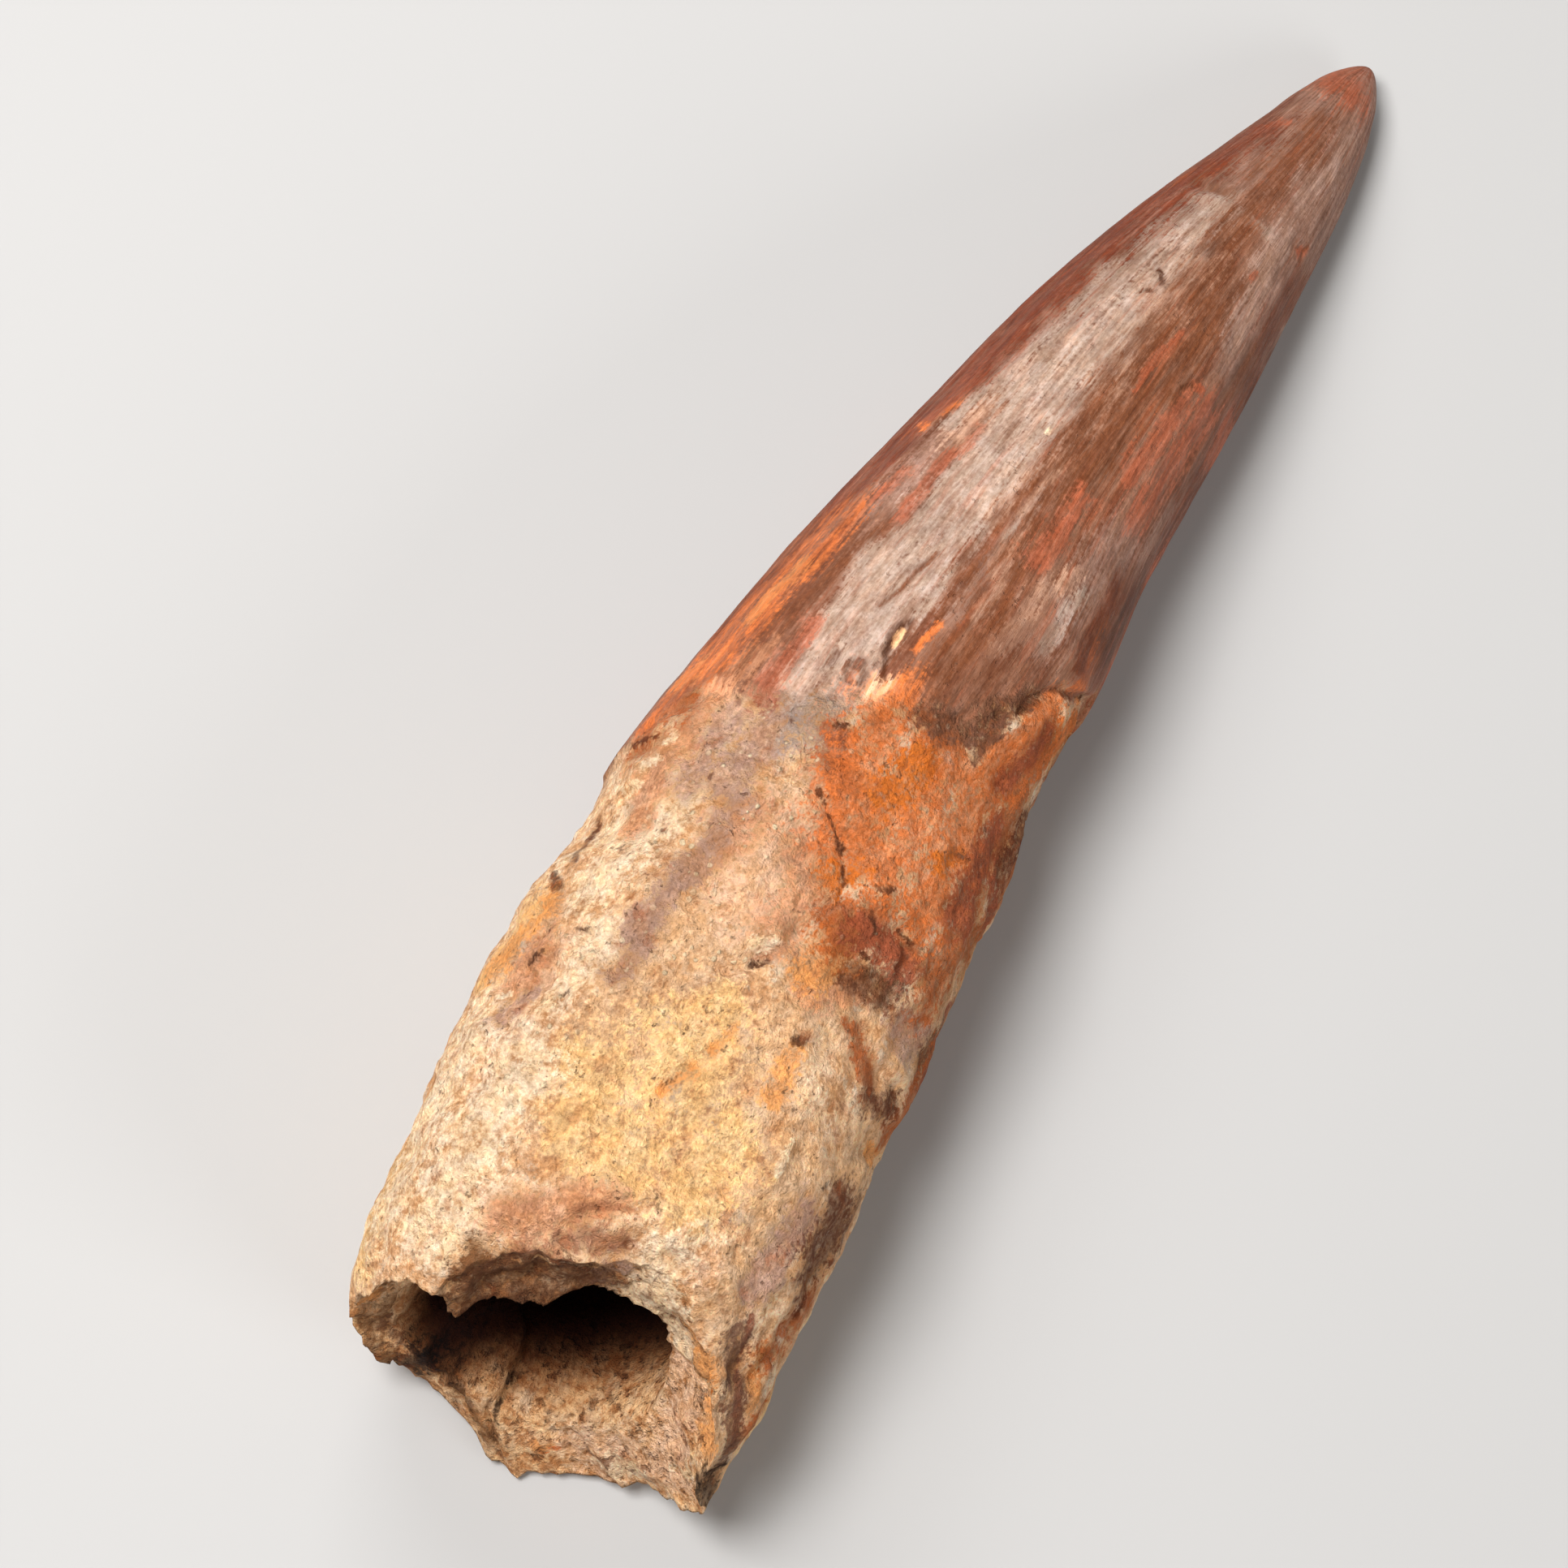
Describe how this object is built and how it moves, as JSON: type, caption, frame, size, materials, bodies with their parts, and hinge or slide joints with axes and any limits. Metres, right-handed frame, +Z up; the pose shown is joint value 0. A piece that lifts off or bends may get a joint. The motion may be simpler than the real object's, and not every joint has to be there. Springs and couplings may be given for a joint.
{
  "type": "fossil tooth",
  "caption": "Large conical fossil tooth with a glossy enamel crown and a broken, hollow root, lying on its side.",
  "frame": {"origin": "on the surface the tooth lies on, under the middle of its outer box", "axes": "+X along the tooth from the broken root to the tip, +Y towards the convex front edge, +Z up"},
  "size_m": [0.1526, 0.0396, 0.0295],
  "materials": {
    "fossil": "glossy streaked enamel on the crown, matte sandy crust on the root"
  },
  "bodies": {
    "root": {"tooth": "fossil"}
  },
  "joints": []
}
